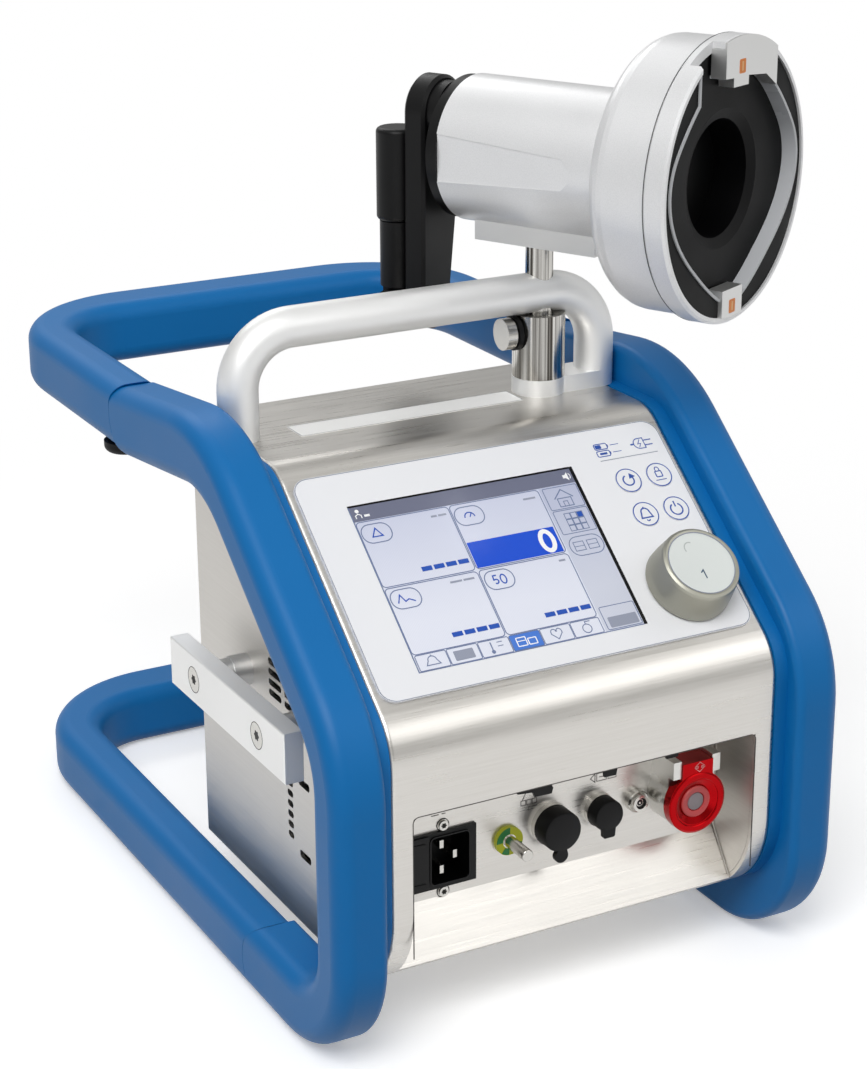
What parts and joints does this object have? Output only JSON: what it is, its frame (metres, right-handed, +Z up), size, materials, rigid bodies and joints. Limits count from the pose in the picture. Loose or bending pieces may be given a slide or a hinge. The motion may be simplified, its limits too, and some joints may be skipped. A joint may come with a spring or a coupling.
{
  "type": "extracorporeal membrane oxygenation machine",
  "caption": "Portable heart-lung support console with blue bumpers, sloped touch panel, connector bay, carrying handle and a hand-crank emergency pump drive on a post.",
  "frame": {"origin": "on the ground, below the middle of the casing's front face", "axes": "+X right as seen from the front, +Y from the front face to the rear, +Z up"},
  "size_m": [0.3093, 0.4275, 0.4414],
  "materials": {
    "stainless": "fine brushed",
    "blue_plastic": "satin",
    "black_rubber": "matt",
    "satin_aluminium": "satin",
    "white_panel": "smooth",
    "screen": "gloss",
    "electronics": "matt",
    "steel": "turned",
    "bronze": "turned",
    "earth_yellow": "plain",
    "silver_paint": "satin",
    "black_plastic": "satin",
    "black_face": "matt",
    "liner": "satin",
    "grey_key": "smooth",
    "red_anodised": "anodised",
    "knob_aluminium": "satin"
  },
  "bodies": {
    "console": {"casing_shell": "stainless", "rear_cover": "stainless", "connector_bay": "stainless", "side_lips": "blue_plastic", "right_bumper": "blue_plastic", "left_bumper": "blue_plastic", "upper_loop": "blue_plastic", "lower_loop": "blue_plastic", "loop_pads": "black_rubber", "handle_tube": "satin_aluminium", "handle_feet": "stainless", "drive_holder": "satin_aluminium", "clamp_washer": "electronics", "control_panel": "white_panel", "display_glass": "screen", "control_electronics": "electronics", "equipment_rail": "satin_aluminium", "rail_spacers": "satin_aluminium", "rail_screws": "steel", "mains_inlet": "electronics", "inlet_pins": "steel", "earth_stud": "steel", "earth_washer": "earth_yellow", "bay_sockets": "steel", "pump_connector": "steel", "chassis_shelf": "stainless", "battery_packs": "electronics", "power_supply": "steel", "fan_frame": "electronics", "pump_motor": "steel", "rear_drive_face": "black_face", "case_screws": "steel"},
    "clamp_screw": {"clamp_screw": "satin_aluminium"},
    "post": {"drive_post": "satin_aluminium"},
    "hand_drive": {"saddle_plate": "satin_aluminium", "drive_barrel": "silver_paint", "drive_drum": "silver_paint", "drum_face": "black_face", "cavity_liner": "liner", "bayonet_blocks": "liner", "barrel_end_cap": "black_plastic", "gear_plate": "satin_aluminium", "shaft_bearings": "bronze"},
    "crank": {"crank_arm": "black_plastic", "crank_shaft": "steel"},
    "grip_holder": {"grip_fork": "black_plastic"},
    "grip_sleeve": {"crank_grip": "black_plastic"},
    "layshaft": {"lay_shaft": "steel"},
    "rotor": {"rotor_shaft": "steel", "magnet_rotor": "steel"},
    "knob": {"speed_knob": "knob_aluminium"},
    "start_key": {"key_start": "grey_key"},
    "lock_key": {"key_lock": "grey_key"},
    "mute_key": {"key_mute": "grey_key"},
    "power_key": {"key_power": "grey_key"},
    "large_dust_cap": {"large_cap": "black_rubber"},
    "small_dust_cap": {"small_cap": "black_rubber"},
    "hinged_cover": {"red_cover": "red_anodised"},
    "fan": {"fan_rotor": "electronics"},
    "pump_rotor": {"motor_rotor": "steel"}
  },
  "joints": [
    {"name": "clamp_turn", "type": "hinge", "parent": "console", "child": "clamp_screw", "pos_m": [0.048, 0.162, 0.286], "axis": [-1, 0, 0], "range_deg": [0, 300]},
    {"name": "post_lift", "type": "slide", "parent": "console", "child": "post", "axis": [0, 0, 1], "range_m": [0, 0.055]},
    {"name": "drive_swivel", "type": "hinge", "parent": "post", "child": "hand_drive", "pos_m": [0.0665, 0.162, 0.3315], "axis": [0, 0, 1], "range_deg": [-65, 20]},
    {"name": "crank_spin", "type": "hinge", "parent": "hand_drive", "child": "crank", "pos_m": [0.03559, 0.20256, 0.392], "axis": [0.4384, -0.8988, 0], "continuous": true},
    {"name": "grip_fold", "type": "hinge", "parent": "crank", "child": "grip_holder", "pos_m": [0.01861, 0.22142, 0.294], "axis": [-0.8988, -0.4384, 0], "range_deg": [0, 90]},
    {"name": "grip_spin", "type": "hinge", "parent": "grip_holder", "child": "grip_sleeve", "pos_m": [0.01861, 0.22142, 0.354], "axis": [0, 0, 1], "continuous": true},
    {"name": "layshaft_spin", "type": "hinge", "parent": "hand_drive", "child": "layshaft", "pos_m": [0.06099, 0.18713, 0.39065], "axis": [0.4384, -0.8988, 0], "continuous": true},
    {"name": "rotor_spin", "type": "hinge", "parent": "hand_drive", "child": "rotor", "pos_m": [0.0665, 0.162, 0.374], "axis": [0.4384, -0.8988, 0], "continuous": true},
    {"name": "knob_turn", "type": "hinge", "parent": "console", "child": "knob", "pos_m": [0.0735, 0.02912, 0.19765], "axis": [0, -0.6293, 0.7771], "continuous": true},
    {"name": "start_press", "type": "slide", "parent": "console", "child": "start_key", "axis": [0, 0.6293, -0.7771], "range_m": [0, 0.0006], "stiffness_N_per_m": 2000, "springref_m": -0.0003},
    {"name": "lock_press", "type": "slide", "parent": "console", "child": "lock_key", "axis": [0, 0.6293, -0.7771], "range_m": [0, 0.0006], "stiffness_N_per_m": 2000, "springref_m": -0.0003},
    {"name": "mute_press", "type": "slide", "parent": "console", "child": "mute_key", "axis": [0, 0.6293, -0.7771], "range_m": [0, 0.0006], "stiffness_N_per_m": 2000, "springref_m": -0.0003},
    {"name": "power_press", "type": "slide", "parent": "console", "child": "power_key", "axis": [0, 0.6293, -0.7771], "range_m": [0, 0.0006], "stiffness_N_per_m": 2000, "springref_m": -0.0003},
    {"name": "large_cap_pull", "type": "slide", "parent": "console", "child": "large_dust_cap", "axis": [0, -1, 0], "range_m": [0, 0.014]},
    {"name": "small_cap_pull", "type": "slide", "parent": "console", "child": "small_dust_cap", "axis": [0, -1, 0], "range_m": [0, 0.014]},
    {"name": "cover_swing", "type": "hinge", "parent": "console", "child": "hinged_cover", "pos_m": [0.068, 0.0205, 0.105], "axis": [-1, 0, 0], "range_deg": [0, 95]},
    {"name": "fan_spin", "type": "hinge", "parent": "console", "child": "fan", "pos_m": [-0.095, 0.09, 0.084], "axis": [1, 0, 0], "continuous": true},
    {"name": "pump_rotor_spin", "type": "hinge", "parent": "console", "child": "pump_rotor", "pos_m": [0, 0.2, 0.14], "axis": [0, 1, 0], "continuous": true}
  ],
  "couplings": [
    {"joint": "layshaft_spin", "follows": "crank_spin", "ratio": -2.3333},
    {"joint": "rotor_spin", "follows": "crank_spin", "ratio": 6.2222}
  ]
}
